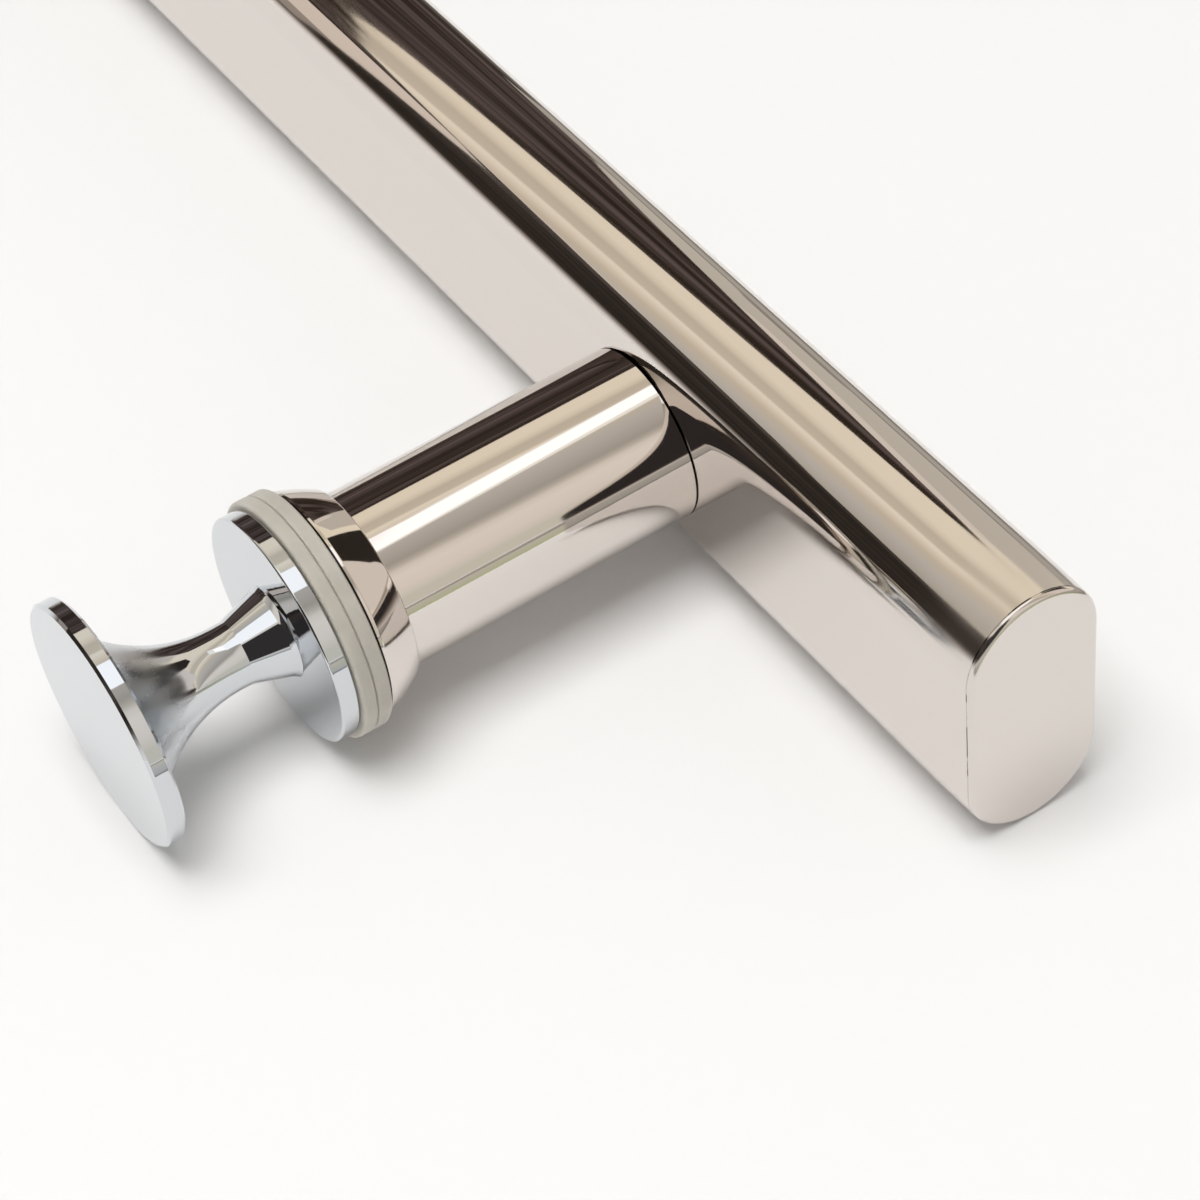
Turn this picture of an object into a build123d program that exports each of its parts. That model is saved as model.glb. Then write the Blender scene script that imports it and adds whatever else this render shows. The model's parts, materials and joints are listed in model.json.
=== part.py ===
from build123d import *

import os

# Single-sided shower door handle: an oval bar on two posts, clamped through the glass by two spool knobs.
#
# The origin lies on the glass plane, midway between the two holes. +X runs along the bar, +Y from the
# glass to the bar and +Z up. The glass would fill the plane y = 0 between the two gaskets; without it
# the gaskets lie face to face there. Lengths are in millimetres.

# Handle as a whole
hole_spacing = 450.0
bar_overhang = 70.0

# Bar, a flat-sided oval tube closed by a welded plate at each end
bar_depth = 20.0
bar_height = 40.0
bar_wall = 1.5
cap_thickness = 2.5
cap_edge_radius = 0.8
spigot_length = 5.0

# Post, a round tube with a threaded plug in each end
post_diameter = 25.0
post_wall = 2.0
post_edge_break = 0.2
post_length = 50.0
head_plug_length = 12.0
foot_plug_length = 15.0
plug_lead_in = 0.6

# Joint between post and bar
nut_width = 22.0
nut_height = 15.0
nut_thickness = 6.0
joining_stud_diameter = 8.0
joining_stud_engagement = 10.0

# Flared collar over the glass end of the post
collar_neck_wall = 1.05
collar_flare = 2.3
collar_rim_width = 0.8
collar_length = 6.0
collar_bulge = 0.12
collar_neck_rounding = 0.5
collar_recess_depth = 0.8
collar_recess_wall = 1.5

# Gaskets and the bush that lines the hole in the glass
gasket_margin = 0.9
gasket_thickness = 2.1
gasket_edge_radius = 0.45
bush_diameter = 12.0
bush_wall = 2.4

# Backplate behind the knob
backplate_thickness = 2.7
backplate_edge_radius = 0.35
backplate_pocket_depth = 1.6

# Turned knob
knob_length = 26.0
knob_disc_diameter = 34.5
knob_disc_thickness = 2.7
knob_disc_bevel = 0.4
knob_lip_diameter = 13.2
knob_lip_width = 0.7
knob_bell_diameter = 12.2
knob_bell_length = 5.9
knob_waist_diameter = 8.9
knob_waist_length = 1.5
knob_flare_diameter = 24.4
knob_root_radius = 0.8
clamp_stud_diameter = 6.0
clamp_stud_in_post = 12.0
clamp_stud_in_knob = 8.0

# Fits, each a gap on the radius or at an end
press_gap = 0.03
thread_gap = 0.1
sliding_gap = 0.25
hole_bottom_gap = 1.5

# Places along the post axis, from the bar side to the knob side
outer_seat = gasket_thickness
inner_seat = -gasket_thickness
bar_near = outer_seat + post_length
bar_centre = bar_near + bar_depth / 2
plate_front = inner_seat - backplate_thickness
knob_front = plate_front - knob_length

bar_half_length = hole_spacing / 2 + bar_overhang
tube_half_length = bar_half_length - cap_thickness
post_radius = post_diameter / 2
post_bore_radius = post_radius - post_wall
collar_bore_radius = post_radius + sliding_gap
collar_neck_radius = collar_bore_radius + collar_neck_wall
collar_rim_radius = collar_neck_radius + collar_flare
gasket_radius = collar_rim_radius + gasket_margin
backplate_radius = gasket_radius - gasket_margin
bush_radius = bush_diameter / 2
clamp_stud_radius = clamp_stud_diameter / 2
joining_stud_radius = joining_stud_diameter / 2
sides = {"left": -hole_spacing / 2, "right": hole_spacing / 2}


def turned(outline):
    """Revolve a closed outline, given as distance from the axis and place along it, about the post axis."""
    return revolve(make_face(outline), Axis.Y)


def ring(outer_radius, inner_radius, start, end):
    """Plain ring or rod about the post axis between two places along it."""
    section = Pos((outer_radius + inner_radius) / 2, (start + end) / 2)
    section *= Rectangle(outer_radius - inner_radius, abs(end - start))
    return revolve(section, Axis.Y)


def rims(piece, place, radius):
    """Circular edges of a turned piece at one place along the axis and one radius."""
    circles = piece.edges().filter_by(GeomType.CIRCLE)
    near = [edge for edge in circles if abs(edge.center().Y - place) < 1e-3]
    return [edge for edge in near if abs(edge.radius - radius) < 1e-3]


def oval(inset):
    """Flat-sided oval section of the bar, inset from its outside, on the plane across the bar."""
    outline = SlotOverall(bar_height - 2 * inset, bar_depth - 2 * inset, rotation=90)
    return Plane.YZ * Pos(bar_centre, 0) * outline


def bar_tube():
    """Oval tube with a clearance hole for the joining stud behind each post."""
    outside = extrude(oval(0), tube_half_length, both=True)
    inside = extrude(oval(bar_wall), tube_half_length, both=True)
    tube = outside - inside
    drill = ring(joining_stud_radius + thread_gap, 0, bar_near - bar_wall, bar_centre)
    for place in sides.values():
        tube -= Pos(place, 0, 0) * drill
    return tube


def end_cap():
    """Plate with a polished edge that closes the bar's right end, on a spigot inside the tube."""
    plate = extrude(oval(0), cap_thickness)
    plate = fillet(plate.faces().sort_by(Axis.X)[-1].edges(), cap_edge_radius)
    spigot = extrude(oval(bar_wall + thread_gap), -spigot_length)
    return Pos(tube_half_length, 0, 0) * (plate + spigot)


def post():
    """Round tube, cut square at both ends, with its outer edge just broken where it meets the bar."""
    tube = ring(post_radius, post_bore_radius, outer_seat, bar_near)
    return chamfer(rims(tube, bar_near, post_radius), post_edge_break)


def plug(start, end, thread_radius, thread_depth):
    """Plug pressed into an end of the post, tapped from the end that is flush with the post's end."""
    body = ring(post_bore_radius - press_gap, 0, start, end)
    body = chamfer(rims(body, end, post_bore_radius - press_gap), plug_lead_in)
    towards = 1 if end > start else -1
    return body - ring(thread_radius + thread_gap, 0, start, start + towards * thread_depth)


def head_plug():
    """Plug at the bar end of the post, tapped right through."""
    return plug(bar_near, bar_near - head_plug_length, joining_stud_radius, head_plug_length)


def foot_plug():
    """Plug at the glass end of the post, with a blind thread for the clamp stud."""
    depth = clamp_stud_in_post + hole_bottom_gap
    return plug(outer_seat, outer_seat + foot_plug_length, clamp_stud_radius, depth)


def nut_block():
    """Tapped block welded to the flat wall inside the bar."""
    centre = bar_near + bar_wall + nut_thickness / 2
    block = Pos(0, centre, 0) * Box(nut_width, nut_thickness, nut_height)
    hole = ring(joining_stud_radius + thread_gap, 0, centre - nut_thickness, centre + nut_thickness)
    return block - hole


def joining_stud():
    """Threaded stud from the nut block through the bar's wall into the head plug."""
    end = bar_near + bar_wall + nut_thickness
    return ring(joining_stud_radius, 0, bar_near - joining_stud_engagement, end)


def collar():
    """Flared ring with a narrow rim against the gasket and a rounded neck round the post."""
    bore, neck, rim = collar_bore_radius, collar_neck_radius, collar_rim_radius
    rim_end = outer_seat + collar_rim_width
    neck_end = outer_seat + collar_length
    recess = rim - collar_recess_wall
    flank_middle = ((rim + neck) / 2 + collar_bulge, (rim_end + neck_end) / 2 + collar_bulge)
    floor = outer_seat + collar_recess_depth
    outline = Polyline((rim, rim_end), (rim, outer_seat), (recess, outer_seat), (recess, floor))
    outline += Polyline((recess, floor), (bore, floor), (bore, neck_end), (neck, neck_end))
    outline += ThreePointArc((neck, neck_end), flank_middle, (rim, rim_end))
    body = turned(outline)
    return fillet(rims(body, neck_end, neck), collar_neck_rounding)


def gasket(start, end):
    """Soft flat ring with rounded outer edges and a hole that clears the bush."""
    body = ring(gasket_radius, 0, start, end)
    edges = rims(body, start, gasket_radius) + rims(body, end, gasket_radius)
    return fillet(edges, gasket_edge_radius) - ring(bush_radius + sliding_gap, 0, start, end)


def hole_bush():
    """Sleeve round the clamp stud, from the post through both gaskets into the backplate's pocket."""
    end = inner_seat - backplate_pocket_depth + sliding_gap
    return ring(bush_radius, bush_radius - bush_wall, outer_seat, end)


def backplate():
    """Polished disc with a stud hole, and a pocket for the bush on its hidden side."""
    body = ring(backplate_radius, 0, inner_seat, plate_front)
    edges = rims(body, inner_seat, backplate_radius) + rims(body, plate_front, backplate_radius)
    body = fillet(edges, backplate_edge_radius)
    pocket = ring(bush_radius + sliding_gap, 0, inner_seat, inner_seat - backplate_pocket_depth)
    return body - pocket - ring(clamp_stud_radius + sliding_gap, 0, inner_seat, plate_front)


def knob():
    """Turned spool: lip, bell, waist, tangent flare and a flat disc, tapped from its back."""
    lip = knob_lip_diameter / 2
    bell = knob_bell_diameter / 2
    waist = knob_waist_diameter / 2
    flare = knob_flare_diameter / 2
    disc = knob_disc_diameter / 2
    lip_end = plate_front - knob_lip_width
    crease = plate_front - knob_bell_length
    flare_start = crease - knob_waist_length
    disc_back = knob_front + knob_disc_thickness
    outline = Polyline((0, plate_front), (lip, plate_front), (bell, lip_end), (waist, crease))
    outline += Line((waist, crease), (waist, flare_start))
    outline += TangentArc((waist, flare_start), (flare, disc_back), tangent=(0, -1))
    outline += Polyline((flare, disc_back), (disc, disc_back), (disc, knob_front), (0, knob_front))
    outline += Line((0, knob_front), (0, plate_front))
    body = turned(outline)
    body = fillet(rims(body, disc_back, flare), knob_root_radius)
    body = chamfer(rims(body, knob_front, disc) + rims(body, disc_back, disc), knob_disc_bevel)
    depth = clamp_stud_in_knob + hole_bottom_gap
    return body - ring(clamp_stud_radius + thread_gap, 0, plate_front, plate_front - depth)


def clamp_stud():
    """Threaded stud from the foot plug through the glass hole into the knob."""
    start = outer_seat + clamp_stud_in_post
    return ring(clamp_stud_radius, 0, start, plate_front - clamp_stud_in_knob)


def save(name, piece):
    """Write one named piece."""
    export_step(piece, f"parts/{name}.step")


os.makedirs("parts", exist_ok=True)
save("bar_tube", bar_tube())
save("end_cap_left", mirror(end_cap(), Plane.YZ))
save("end_cap_right", end_cap())

post_pieces = {
    "post": post(),
    "head_plug": head_plug(),
    "foot_plug": foot_plug(),
    "nut_block": nut_block(),
    "joining_stud": joining_stud(),
    "collar": collar(),
    "outer_gasket": gasket(outer_seat, 0),
    "inner_gasket": gasket(0, inner_seat),
    "hole_bush": hole_bush(),
    "backplate": backplate(),
    "knob": knob(),
    "clamp_stud": clamp_stud(),
}
for side, place in sides.items():
    for name, piece in post_pieces.items():
        save(f"{name}_{side}", Pos(place, 0, 0) * piece)
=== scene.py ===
"""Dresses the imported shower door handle.

Polished bar and posts, flared collars, milky gaskets and turned spool knobs, on a pale table.
"""

import json
import logging
import math
from dataclasses import dataclass, field
from enum import Enum
from functools import cache

import bmesh
import bpy
from mathutils import Matrix, Vector


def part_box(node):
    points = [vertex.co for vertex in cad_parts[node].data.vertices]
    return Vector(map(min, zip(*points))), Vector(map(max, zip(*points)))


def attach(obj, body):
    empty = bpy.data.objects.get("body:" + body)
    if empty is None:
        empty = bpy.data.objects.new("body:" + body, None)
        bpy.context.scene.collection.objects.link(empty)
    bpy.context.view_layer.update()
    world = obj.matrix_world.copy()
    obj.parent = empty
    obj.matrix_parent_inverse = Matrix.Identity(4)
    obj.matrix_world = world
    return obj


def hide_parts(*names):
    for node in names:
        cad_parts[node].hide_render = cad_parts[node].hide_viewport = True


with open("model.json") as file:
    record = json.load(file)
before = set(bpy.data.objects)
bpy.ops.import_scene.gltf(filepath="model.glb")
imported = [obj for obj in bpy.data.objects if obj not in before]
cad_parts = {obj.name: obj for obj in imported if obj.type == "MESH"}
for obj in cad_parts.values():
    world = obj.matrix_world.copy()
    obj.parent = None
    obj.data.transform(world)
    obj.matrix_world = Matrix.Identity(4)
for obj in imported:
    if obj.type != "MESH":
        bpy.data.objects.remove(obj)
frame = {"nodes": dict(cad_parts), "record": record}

log = logging.getLogger("shower_door_handle")

MM = 0.001
QUARTER = math.pi / 2
GUARD = 0.03 * MM  # how far a guard point lies from the end of its run
CREASE = math.radians(30)  # edges that bend more stay sharp
ROUNDING_STEPS = 14  # flats in the section of a small rounded edge

Point = tuple[float, float]
Span = tuple[float, float]
Way = tuple[float, float, float]
Tone = tuple[float, float, float]
Stops = tuple[tuple[float, Tone], ...]
Tree = bpy.types.NodeTree
Node = bpy.types.Node
Socket = bpy.types.NodeSocket
Material = bpy.types.Material
Mesh = bpy.types.Mesh
Piece = bpy.types.Object
Number = Socket | float
Value = Number | Vector | tuple[float, ...]
Inputs = dict[str | int, Value]


class Side(Enum):
    """The two posts, by the sign of their place along the bar."""

    LEFT = -1
    RIGHT = 1

    @property
    def tag(self) -> str:
        """Ending of the side's node names."""
        return self.name.lower()


class Grain(Enum):
    """Which way the polishing marks of a metal piece run."""

    ALONG_BAR = "along_bar"
    ROUND_POST = "round_post"


def snapped(value: float) -> float:
    """A length from the frame, rounded to a hundredth of a millimetre."""
    return round(value, 5)


def feed(tree: Tree, node: Node, inputs: Inputs) -> None:
    """Set or join inputs of a node.

    Args:
        tree: The node's tree.
        node: The node.
        inputs: Value or joined socket for each input, by name or number.
    """
    for key, value in inputs.items():
        if isinstance(value, Socket):
            tree.links.new(value, node.inputs[key])
        else:
            node.inputs[key].default_value = value


def put(tree: Tree, kind: str, inputs: Inputs | None = None, **settings: str | bool | Tree) -> Node:
    """Add a node to a tree.

    Args:
        tree: The tree that takes the node.
        kind: Blender's type name of the node.
        inputs: Value or joined socket for each input, by name or number.
        settings: Properties of the node itself.

    Returns:
        The new node.
    """
    node = tree.nodes.new(kind)
    for key, value in settings.items():
        setattr(node, key, value)
    feed(tree, node, inputs or {})
    return node


def maths(tree: Tree, operation: str, *terms: Number) -> Socket:
    """Result of a Math node on numbers or sockets, in order."""
    return put(tree, "ShaderNodeMath", dict(enumerate(terms)), operation=operation).outputs[0]


def noise(tree: Tree, vector: Socket, scale: Number, detail: Number, roughness: float = 0.5) -> Socket:
    """Strength of a noise texture with a number of finer layers, as strong as its roughness says."""
    inputs = {"Vector": vector, "Scale": scale, "Detail": detail, "Roughness": roughness}
    return put(tree, "ShaderNodeTexNoise", inputs).outputs["Fac"]


def ranged(tree: Tree, value: Socket, source: Span, target: Span = (0.0, 1.0), soft: bool = False) -> Socket:
    """Map a value from one span onto another, and hold it beyond the ends.

    Args:
        tree: The tree that takes the node.
        value: The value.
        source: Where its span starts and ends.
        target: What it gives there.
        soft: Whether it eases in and out.

    Returns:
        The mapped value.
    """
    inputs = {"Value": value, "From Min": source[0], "From Max": source[1]}
    inputs |= {"To Min": target[0], "To Max": target[1]}
    kind = "SMOOTHSTEP" if soft else "LINEAR"
    return put(tree, "ShaderNodeMapRange", inputs, interpolation_type=kind).outputs[0]


def blended(tree: Tree, share: Number, first: Value, second: Value) -> Socket:
    """Mix of two colours, given with their alpha, by the share of the second one."""
    return put(tree, "ShaderNodeMix", {0: share, 6: first, 7: second}, data_type="RGBA").outputs[2]


def relief(tree: Tree, height: Socket, depth: float) -> Socket:
    """Normal of a surface whose fine relief has the given depth."""
    return put(tree, "ShaderNodeBump", {"Height": height, "Distance": depth}).outputs[0]


def object_place(tree: Tree) -> Socket:
    """Place in the object's own coordinates."""
    return put(tree, "ShaderNodeTexCoord").outputs["Object"]


def opaque(tone: Tone) -> tuple[float, ...]:
    """A tone with full alpha."""
    return (*tone, 1.0)


def grouped(name: str, kind: str, inputs: dict[str, str], outputs: dict[str, str]) -> Tree:
    """Start a node group with named sockets.

    Args:
        name: Name of the group.
        kind: Blender's type name of the group.
        inputs: Kind of each input, by its name.
        outputs: Kind of each output, by its name.

    Returns:
        The group.
    """
    tree = bpy.data.node_groups.new(name, kind)
    for way, sockets in (("INPUT", inputs), ("OUTPUT", outputs)):
        for label, sort in sockets.items():
            tree.interface.new_socket(label, in_out=way, socket_type=f"NodeSocket{sort}")
    return tree


def guarded(points: list[Point], closed: bool) -> list[Point]:
    """Add a point close to each end of a long run that goes over smoothly into short ones.

    The added points keep the shading of a flat or a long taper true right up to the curve beside it.

    Args:
        points: The outline.
        closed: Whether the last point joins the first.

    Returns:
        The outline with its guard points.
    """
    count = len(points)
    vectors = [Vector(point) for point in points]
    runs = count if closed else count - 1
    result = []
    for index in range(runs):
        start, end = vectors[index], vectors[(index + 1) % count]
        along = end - start
        result.append(tuple(start))
        step = along.normalized() * GUARD
        before = start - vectors[index - 1] if closed or index > 0 else Vector((0, 0))
        after = vectors[(index + 2) % count] - end if closed or index < runs - 1 else Vector((0, 0))
        if eased_into(along, before):
            result.append(tuple(start + step))
        if eased_into(along, after):
            result.append(tuple(end - step))
    if not closed:
        result.append(tuple(vectors[-1]))
    return result


def eased_into(run: Vector, short: Vector) -> bool:
    """Whether a long run of an outline goes over smoothly into a much shorter one.

    Args:
        run: The long run.
        short: The run beside it.

    Returns:
        True where the two meet at a slight angle.
    """
    if run.length < 6 * GUARD or not 0 < short.length < run.length / 3:
        return False
    return 1e-3 < run.angle(short) < CREASE


def arc(centre: Point, start: Point, sweep: float, steps: int) -> list[Point]:
    """Points on an arc, its start left out and its end put in.

    Args:
        centre: Centre of the arc.
        start: Where the arc starts.
        sweep: Angle in radians, positive from the first axis to the second.
        steps: Number of equal steps.

    Returns:
        The points.
    """
    spoke = Vector(start) - Vector(centre)
    turned = []
    for step in range(1, steps + 1):
        angle = sweep * step / steps
        across = spoke.x * math.cos(angle) - spoke.y * math.sin(angle)
        up = spoke.x * math.sin(angle) + spoke.y * math.cos(angle)
        turned.append((centre[0] + across, centre[1] + up))
    return turned


def outward(mesh: Mesh) -> Mesh:
    """Turn the faces of a closed mesh outwards.

    Args:
        mesh: The mesh.

    Returns:
        The same mesh.
    """
    shape = bmesh.new()
    shape.from_mesh(mesh)
    if shape.calc_volume(signed=True) < 0:
        bmesh.ops.reverse_faces(shape, faces=shape.faces)
        shape.to_mesh(mesh)
    shape.free()
    return mesh


def evaluated(mesh: Mesh, tree: Tree, values: dict[str, float | Material]) -> Mesh:
    """Run a mesh through a Geometry Nodes tree.

    Args:
        mesh: What goes into the tree.
        tree: The tree.
        values: Value of each named input.

    Returns:
        The resulting plain mesh.
    """
    carrier = bpy.data.objects.new("carrier", mesh)
    bpy.context.scene.collection.objects.link(carrier)
    modifier = carrier.modifiers.new("shape", "NODES")
    modifier.node_group = tree
    for item in tree.interface.items_tree:
        if item.in_out == "INPUT" and item.name in values:
            modifier[item.identifier] = values[item.name]
    carrier.update_tag()
    graph = bpy.context.evaluated_depsgraph_get()
    result = bpy.data.meshes.new_from_object(carrier.evaluated_get(graph))
    carrier.modifiers.remove(modifier)
    bpy.data.objects.remove(carrier)
    bpy.data.meshes.remove(mesh)
    return result


def shown(name: str, mesh: Mesh, slot: str, *nodes: str) -> Piece:
    """Put a finished mesh in the scene in place of its CAD nodes.

    Args:
        name: Name of the new piece.
        mesh: Its mesh, in place.
        slot: Material slot of the record; not used.
        nodes: CAD nodes that the piece stands for.

    Returns:
        The new piece.
    """
    mesh.name = name
    piece = bpy.data.objects.new(name, mesh)
    bpy.context.scene.collection.objects.link(piece)
    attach(piece, "root")
    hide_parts(*nodes)
    return piece


def finish_shape(tree: Tree, geometry: Socket, material: Socket) -> None:
    """End a shape tree: shade by edge angle, make real and give the material.

    Args:
        tree: The shape tree.
        geometry: The shape.
        material: The tree's material input.
    """
    smooth = put(tree, "GeometryNodeSetShadeSmooth", {"Geometry": geometry, "Shade Smooth": True})
    angle = put(tree, "GeometryNodeInputMeshEdgeAngle").outputs["Unsigned Angle"]
    sharp = put(tree, "FunctionNodeCompare", {0: angle, 1: CREASE}, operation="GREATER_THAN")
    edges = {"Geometry": smooth.outputs[0], "Selection": sharp.outputs[0], "Shade Smooth": False}
    creased = put(tree, "GeometryNodeSetShadeSmooth", edges, domain="EDGE")
    real = put(tree, "GeometryNodeRealizeInstances", {"Geometry": creased.outputs[0]})
    dressed = put(tree, "GeometryNodeSetMaterial", {"Geometry": real.outputs[0], "Material": material})
    put(tree, "NodeGroupOutput", {0: dressed.outputs[0]})


class Lathe:
    """Geometry Nodes tree that turns a half section about a post's axis."""

    pivot: float = 10 * MM
    merge_distance: float = 1e-7

    def __init__(self) -> None:
        """Build the tree."""
        takes = {"Half Section": "Geometry", "Segments": "Int", "Place Along Bar": "Float"}
        takes |= {"Material": "Material"}
        tree = grouped("turned_about_post", "GeometryNodeTree", takes, {"Turned Piece": "Geometry"})
        given = put(tree, "NodeGroupInput").outputs
        section = put(tree, "GeometryNodeMeshToCurve", {"Mesh": given["Half Section"]})
        circle = {"Resolution": given["Segments"], "Radius": self.pivot}
        turn = put(tree, "GeometryNodeCurvePrimitiveCircle", circle)
        curves = {"Curve": turn.outputs[0], "Profile Curve": section.outputs[0]}
        swept = put(tree, "GeometryNodeCurveToMesh", curves)
        merge = {"Geometry": swept.outputs[0], "Distance": self.merge_distance}
        closed = put(tree, "GeometryNodeMergeByDistance", merge)
        place = put(tree, "ShaderNodeCombineXYZ", {"X": given["Place Along Bar"]})
        stand = {"Geometry": closed.outputs[0], "Translation": place.outputs[0], "Rotation": (QUARTER, 0, 0)}
        stood = put(tree, "GeometryNodeTransform", stand)
        finish_shape(tree, stood.outputs[0], given["Material"])
        self.tree = tree

    def turn(
        self, outline: list[Point], place: float, material: Material, closed: bool = True, segments: int = 360
    ) -> Mesh:
        """Turn one half section.

        Args:
            outline: Distance from the axis and place along it, the material on the left of the path.
            place: Place of the axis along the bar.
            material: Material of the piece.
            closed: Whether the outline is a closed loop clear of the axis.
            segments: Number of flats round the turn.

        Returns:
            The closed mesh, in place.
        """
        points = guarded(outline, closed)
        count = len(points)
        section = bpy.data.meshes.new("half_section")
        edges = [(index, (index + 1) % count) for index in range(count if closed else count - 1)]
        section.from_pydata([(radius - self.pivot, along, 0) for radius, along in points], edges, [])
        values = {"Segments": segments, "Place Along Bar": place, "Material": material}
        return outward(evaluated(section, self.tree, values))


class Drill:
    """Geometry Nodes tree that drills the row of stud holes through the bar's near wall."""

    def __init__(self) -> None:
        """Build the tree."""
        sizes = dict.fromkeys(("Hole Spacing", "Hole Radius", "Hole Start", "Hole Depth"), "Float")
        takes = {"Bar": "Geometry", **sizes, "Material": "Material"}
        tree = grouped("drilled_bar", "GeometryNodeTree", takes, {"Drilled Bar": "Geometry"})
        given = put(tree, "NodeGroupInput").outputs
        half = maths(tree, "MULTIPLY", given["Hole Spacing"], -0.5)
        start = put(tree, "ShaderNodeCombineXYZ", {"X": half, "Y": given["Hole Start"]})
        step = put(tree, "ShaderNodeCombineXYZ", {"X": given["Hole Spacing"]})
        row = {"Count": len(Side), "Start Location": start.outputs[0], "Offset": step.outputs[0]}
        centres = put(tree, "GeometryNodeMeshLine", row)
        shank = {"Vertices": 96, "Radius": given["Hole Radius"], "Depth": given["Hole Depth"]}
        bit = put(tree, "GeometryNodeMeshCylinder", shank)
        set_out = {"Points": centres.outputs[0], "Instance": bit.outputs[0], "Rotation": (QUARTER, 0, 0)}
        holes = put(tree, "GeometryNodeInstanceOnPoints", set_out)
        real = put(tree, "GeometryNodeRealizeInstances", {"Geometry": holes.outputs[0]})
        solids = {0: given["Bar"], 1: real.outputs[0]}
        drilled = put(tree, "GeometryNodeMeshBoolean", solids, operation="DIFFERENCE")
        finish_shape(tree, drilled.outputs[0], given["Material"])
        self.tree = tree


@dataclass
class Workshop:
    """Shape trees that the handle's sub-assemblies share."""

    lathe: Lathe = field(default_factory=Lathe)
    drill: Drill = field(default_factory=Drill)


@cache
def polishing_marks() -> Tree:
    """Hairlines and slow waves of a polishing wheel, as a group that is built once.

    Returns:
        Group with inputs Vector, Line Scale and Wave Scale, and outputs Height and Haze.
    """
    line_height = 0.04
    takes = {"Vector": "Vector", "Line Scale": "Float", "Wave Scale": "Float"}
    tree = grouped("polishing_marks", "ShaderNodeTree", takes, {"Height": "Float", "Haze": "Float"})
    given = put(tree, "NodeGroupInput").outputs
    lines = noise(tree, given["Vector"], given["Line Scale"], 2.0, roughness=0.6)
    waves = noise(tree, given["Vector"], given["Wave Scale"], 1.0, roughness=0.4)
    height = maths(tree, "ADD", waves, maths(tree, "MULTIPLY", lines, line_height))
    put(tree, "NodeGroupOutput", {"Height": height, "Haze": ranged(tree, lines, (0.35, 0.75))})
    return tree


@cache
def mottling() -> Tree:
    """Cloudy change between two tones, as a group that is built once.

    Returns:
        Group with inputs Vector, Scale, Detail, First Tone and Second Tone, and outputs Tone and Share.
    """
    takes = {"Vector": "Vector", "Scale": "Float", "Detail": "Float"}
    takes |= {"First Tone": "Color", "Second Tone": "Color"}
    tree = grouped("mottling", "ShaderNodeTree", takes, {"Tone": "Color", "Share": "Float"})
    given = put(tree, "NodeGroupInput").outputs
    share = noise(tree, given["Vector"], given["Scale"], given["Detail"])
    tone = blended(tree, share, given["First Tone"], given["Second Tone"])
    put(tree, "NodeGroupOutput", {"Tone": tone, "Share": share})
    return tree


def mottled(tree: Tree, place: Socket, scale: float, detail: float, tones: tuple[Tone, Tone]) -> list[Socket]:
    """Place the mottling group in a material.

    Args:
        tree: The material's tree.
        place: Place in the piece.
        scale: Scale of the mottling.
        detail: Number of its finer layers.
        tones: The two tones.

    Returns:
        The tone, and the share of the second tone.
    """
    inputs = {"Vector": place, "Scale": scale, "Detail": detail}
    inputs |= {"First Tone": opaque(tones[0]), "Second Tone": opaque(tones[1])}
    return list(put(tree, "ShaderNodeGroup", inputs, node_tree=mottling()).outputs)


def principled(name: str) -> tuple[Tree, Node]:
    """Start a material.

    Args:
        name: Name of the material.

    Returns:
        Its node tree and its Principled BSDF.
    """
    material = bpy.data.materials.new(name)
    material.use_nodes = True
    return material.node_tree, material.node_tree.nodes["Principled BSDF"]


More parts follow.
